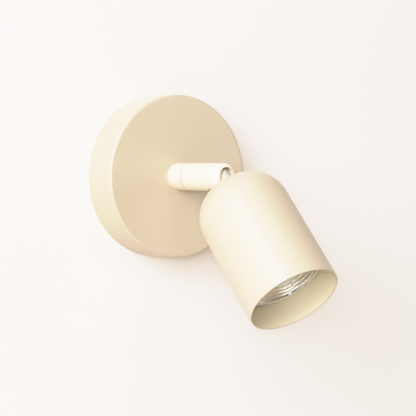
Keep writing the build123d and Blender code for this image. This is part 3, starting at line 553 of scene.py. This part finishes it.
rim_back = lamp_front - rim_thickness
rim_centre_radius = lamp_radius - rim_round
glass_seat_radius = glass_radius + glass_clearance
mirror_floor = bowl_back + bowl_floor
mirror_depth = glass_back - mirror_floor
mirror_rows = facet_rings * facet_ring_steps
bowl_neck = (bowl_neck_radius, bowl_back)
bowl_belly = (bowl_belly_radius, bowl_back + bowl_belly_rise)
bowl_shoulder = (bowl_shoulder_radius, rim_back)
bowl_section = [(throat_hole_radius, bowl_back)]
bowl_section += curve_through(bowl_neck, bowl_belly, bowl_shoulder, bowl_steps)
bowl_section += arc((rim_centre_radius, rim_back + rim_round), rim_round, -90, 0, rim_steps)
bowl_section += arc((rim_centre_radius, lamp_front - rim_round), rim_round, 0, 90, rim_steps)
bowl_section += [(glass_seat_radius, lamp_front), (glass_seat_radius, glass_back)]
first_mirror_row = len(bowl_section)
for i in range(mirror_rows + 1):
    share = 1 - i / mirror_rows
    flare = (mirror_mouth_radius - throat_radius) * share ** (1 / mirror_flare)
    bowl_section.append((throat_radius + flare, mirror_floor + mirror_depth * share))
last_mirror_row = len(bowl_section) - 1
bowl_section += [(throat_hole_radius, mirror_floor), (throat_hole_radius, bowl_back)]
reflector = turn_section(
    "reflector_bowl",
    bowl_section,
    facet_sides * facet_side_steps,
    outer=rim_glass(),
    inner=mirror_painted_warm_reflection(),
    rows=(first_mirror_row, last_mirror_row),
    facet=(facet_side_steps, facet_ring_steps),
    depth=facet_depth,
)
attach(reflector, "lamp")
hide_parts("lamp_reflector")

# Front glass: a clear disc with its edges just broken, let into the reflector's rim.
glass_bevel = 0.0002
glass_segments = 96
glass_tint = (0.97, 0.98, 0.97)


def clear_glass(name, ior):
    """Clear glass, with the faintest waviness of a pressed sheet."""
    material, tree, shader = new_finish(name)
    shader.inputs["Base Color"].default_value = (*glass_tint, 1.0)
    shader.inputs["Transmission Weight"].default_value = 1.0
    shader.inputs["IOR"].default_value = ior
    wave = grain(tree, scale=180, detail=2)
    vary_gloss(tree, shader, wave, smooth=0.0, rough=0.02)
    relief(tree, shader, wave, depth=0.000004)
    return material


glass_flat_radius = glass_radius - glass_bevel
glass_section = [(0.0, glass_back), (glass_flat_radius, glass_back)]
glass_section += [(glass_radius, glass_back + glass_bevel), (glass_radius, glass_front - glass_bevel)]
glass_section += [(glass_flat_radius, glass_front), (0.0, glass_front)]
sheet_glass = clear_glass("sheet_glass", ior=1.5)
front_glass = turn_section(
    "front_glass",
    glass_section,
    glass_segments,
    outer=sheet_glass,
    inner=sheet_glass,
)
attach(front_glass, "lamp")
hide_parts("lamp_glass")

# Burner: a thin quartz capsule that stands on the base in the reflector's throat.
# A coiled tungsten filament lies inside it along its axis.
burner_back, burner_tip, burner_radius = reach_along_head("lamp_burner")
quartz_wall = 0.0009
quartz_seat = 0.0030
quartz_segments = 48
tip_steps = 14
filament_radius = 0.0010
filament_wire = 0.00016
filament_turns = 9.0
filament_length = 0.0062
filament_rise = 0.0068
coil_steps = 20
wire_sides = 10
quartz_shoulder = burner_tip - burner_radius
quartz_inner_radius = burner_radius - quartz_wall
quartz_section = [(0.0, burner_back), (burner_radius, burner_back)]
quartz_section += arc((0.0, quartz_shoulder), burner_radius, 0, 90, tip_steps)
quartz_section += arc((0.0, quartz_shoulder), quartz_inner_radius, 90, 0, tip_steps)
quartz_section += [(quartz_inner_radius, burner_back + quartz_seat), (0.0, burner_back + quartz_seat)]
quartz = clear_glass("quartz", ior=1.46)
capsule = turn_section(
    "quartz_capsule",
    quartz_section,
    quartz_segments,
    outer=quartz,
    inner=quartz,
)
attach(capsule, "lamp")
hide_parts("lamp_burner")


def coil_tree():
    """A round wire wound into a coil along its axis."""
    lengths = ("Turns", "Coil Radius", "Length", "Wire Radius")
    tree, given, result = node_tree("coil", dict.fromkeys(lengths, "Float") | {"Finish": "Material"})
    size = given.outputs
    turns = {
        "Resolution": coil_steps,
        "Rotations": size["Turns"],
        "Start Radius": size["Coil Radius"],
        "End Radius": size["Coil Radius"],
        "Height": size["Length"],
    }
    spiral = step(tree, "GeometryNodeCurveSpiral", turns).outputs[0]
    round_wire = {"Resolution": wire_sides, "Radius": size["Wire Radius"]}
    wire = step(tree, "GeometryNodeCurvePrimitiveCircle", round_wire).outputs[0]
    feeds = {"Curve": spiral, "Profile Curve": wire, "Fill Caps": True}
    tube = step(tree, "GeometryNodeCurveToMesh", feeds).outputs[0]
    plain = step(tree, "GeometryNodeRealizeInstances", {"Geometry": tube}).outputs[0]
    coat = {"Geometry": plain, "Material": size["Finish"]}
    coated = step(tree, "GeometryNodeSetMaterial", coat).outputs[0]
    tree.links.new(coated, result.inputs[0])
    return tree


tungsten = turned_metal(
    "tungsten",
    dark=(0.30, 0.29, 0.28),
    light=(0.42, 0.41, 0.40),
    smooth=0.25,
    rough=0.40,
)
filament = grow(
    "filament_coil",
    coil_tree(),
    bpy.data.meshes.new("filament_start"),
    {
        "Turns": filament_turns,
        "Coil Radius": filament_radius,
        "Length": filament_length,
        "Wire Radius": filament_wire,
        "Finish": tungsten,
    },
    head_place @ Matrix.Translation((0, 0, burner_back + filament_rise)),
)
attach(filament, "lamp")

# Leads: stranded copper in thin sleeves, brown and blue for supply, green and yellow for earth.
# They run from the terminals through nipple, bolt and stem to the lampholder.


def sleeve(name, dark, light):
    """Extruded sleeve, slightly waxy."""
    material, tree, shader = new_finish(name)
    wax = grain(tree, scale=900, detail=2)
    tint(tree, shader, wax, dark, light)
    vary_gloss(tree, shader, wax, smooth=0.32, rough=0.44)
    return material


def earth_sleeve():
    """Green sleeve with a yellow band along one side, set by which way the surface faces."""
    material, tree, shader = new_finish("earth_sleeve")
    facing = step(tree, "ShaderNodeTexCoord").outputs["Normal"]
    side = step(tree, "ShaderNodeSeparateXYZ", {0: facing}).outputs["X"]
    edge = {"Value": side, "From Min": 0.25, "From Max": 0.32}
    band = step(tree, "ShaderNodeMapRange", edge).outputs[0]
    tint(tree, shader, band, dark=(0.06, 0.28, 0.05), light=(0.80, 0.68, 0.05))
    vary_gloss(tree, shader, grain(tree, scale=900, detail=2), smooth=0.32, rough=0.44)
    return material


brown_sleeve = sleeve("brown_sleeve", dark=(0.070, 0.032, 0.015), light=(0.095, 0.045, 0.022))
blue_sleeve = sleeve("blue_sleeve", dark=(0.020, 0.055, 0.250), light=(0.030, 0.075, 0.310))
dress(brown_sleeve, "rose_lead_live", "arm_lead_live", "head_lead_live")
dress(blue_sleeve, "rose_lead_neutral", "arm_lead_neutral", "head_lead_neutral")
dress(earth_sleeve(), "rose_lead_earth")

# Studio: a floor, and a pale upright sheet that the rose sits against, seen from its front only.
# Soft lights stand round the lamp, most of them to the left and above, in an even dim surround.
sheet_size = 4.0
floor_drop = 0.45
upright_colour = (0.804, 0.725, 0.656)
floor_colour = (0.465, 0.44, 0.395)
sheet_roughness = 0.9


def matt_sheet(name, colour):
    """Matt paint that lets a view from behind pass."""
    material, tree, shader = new_finish(name)
    shader.inputs["Base Color"].default_value = (*colour, 1.0)
    shader.inputs["Roughness"].default_value = sheet_roughness
    clear = step(tree, "ShaderNodeBsdfTransparent").outputs[0]
    behind = step(tree, "ShaderNodeNewGeometry").outputs["Backfacing"]
    seen = step(tree, "ShaderNodeMixShader", {0: behind, 1: shader.outputs[0], 2: clear})
    tree.links.new(seen.outputs[0], tree.nodes["Material Output"].inputs["Surface"])
    return material


def stage_sheet(name, corners, material):
    """One flat sheet of the studio, kept apart from the lamp's pieces."""
    mesh = bpy.data.meshes.new(name)
    mesh.from_pydata(corners, [], [tuple(range(len(corners)))])
    mesh.materials.append(material)
    sheet = bpy.data.objects.new(name, mesh)
    bpy.context.scene.collection.objects.link(sheet)
    return sheet


half = sheet_size / 2
upright_corners = [(-half, 0, -floor_drop), (half, 0, -floor_drop), (half, 0, half), (-half, 0, half)]
floor_sides = ((-half, -half), (half, -half), (half, half), (-half, half))
floor_corners = [(x, y, -floor_drop) for x, y in floor_sides]
upright_paint = matt_sheet("upright_paint", upright_colour)
upright = stage_sheet("upright_sheet", upright_corners, upright_paint)
stage_sheet("floor", floor_corners, matt_sheet("floor_paint", floor_colour))
upright.visible_shadow = False
light_aim = Vector((0, -0.07, -0.03))
light_reach = 1.8
surround_strength = 0.13
white = (1.0, 1.0, 1.0)
cool = (0.966, 0.937, 1.0)
warm = (1.0, 0.95, 0.85)


def soft_light(name, direction, watts, size, colour):
    """A square light that stands in a direction from the lamp and faces it."""
    light = bpy.data.lights.new(name, "AREA")
    light.shape = "SQUARE"
    light.size = size
    light.energy = watts
    light.color = colour
    stand = bpy.data.objects.new(name, light)
    stand.location = light_aim + Vector(direction).normalized() * light_reach
    stand.rotation_euler = (-Vector(direction)).to_track_quat("-Z", "Y").to_euler()
    bpy.context.scene.collection.objects.link(stand)


# A light has a direction from the lamp, its watts, the length of its sides and its colour.
soft_light("strip", (-0.586, -0.150, 0.797), 6.4, 0.6, cool)
soft_light("overhead", (-0.10, -0.25, 0.96), 4.2, 0.6, white)
soft_light("left_side", (-0.80, -0.30, 0.50), 11.2, 0.6, cool)
soft_light("left_upper", (-0.70, -0.55, 0.40), 29.5, 1.4, cool)
soft_light("left_level", (-0.83, -0.48, 0.28), 19.2, 0.9, cool)
soft_light("beside_camera", (-0.610, -0.780, 0.134), 8.8, 0.22, white)
soft_light("front_upper", (0.05, -0.75, 0.66), 4.4, 0.6, white)
soft_light("far_side", (0.70, -0.70, 0.15), 4.8, 0.6, warm)
soft_light("behind", (0.40, 0.90, 0.15), 26.0, 1.0, white)
world = bpy.data.worlds.new("surround")
world.use_nodes = True
surround = world.node_tree.nodes["Background"]
surround.inputs["Color"].default_value = (*white, 1.0)
surround.inputs["Strength"].default_value = surround_strength
bpy.context.scene.world = world

# Camera: a long lens from the left, a little above the arm, as the photograph was taken.
# Its place is the photograph's, fitted to the outlines of the rose, arm and shade.
view_azimuth = radians(-35.952)
view_elevation = radians(3.728)
view_roll = radians(-2.518)
view_distance = 1.14004
view_right = 0.03212
view_up = -0.02002
focal_pixels = 1830.3
image_pixels = 416
sensor_width = 36.0
level = Vector((cos(view_azimuth), sin(view_azimuth), 0))
facing = Vector((sin(view_azimuth), -cos(view_azimuth), 0))
back = facing * cos(view_elevation) + Vector((0, 0, sin(view_elevation)))
upward = back.cross(level)
right = level * cos(view_roll) + upward * sin(view_roll)
up = upward * cos(view_roll) - level * sin(view_roll)
camera_data = bpy.data.cameras.new("camera")
camera_data.sensor_width = sensor_width
camera_data.lens = focal_pixels * sensor_width / image_pixels
camera = bpy.data.objects.new("camera", camera_data)
camera.matrix_world = Matrix((right, up, back)).transposed().to_4x4()
camera.location = right * view_right + up * view_up + back * view_distance
bpy.context.scene.collection.objects.link(camera)
bpy.context.scene.camera = camera

# Print: a plain display curve with a soft shoulder, as in a bright product photograph.
settings = bpy.context.scene.view_settings
settings.view_transform = "Standard"
settings.use_curve_mapping = True
tone = settings.curve_mapping
tone.clip_max_x = 4.0
tone.clip_max_y = 1.0
curve = tone.curves[3]
straight_end = (0.3, 0.3)
curve.points[1].location = straight_end
shoulder = [(0.6, 0.6), (0.78, 0.765), (0.9, 0.835), (1.0, 0.872)]
shoulder += [(1.15, 0.912), (1.35, 0.945), (1.8, 0.978), (2.6, 1.0)]
for x, y in shoulder:
    curve.points.new(x, y)
tone.update()
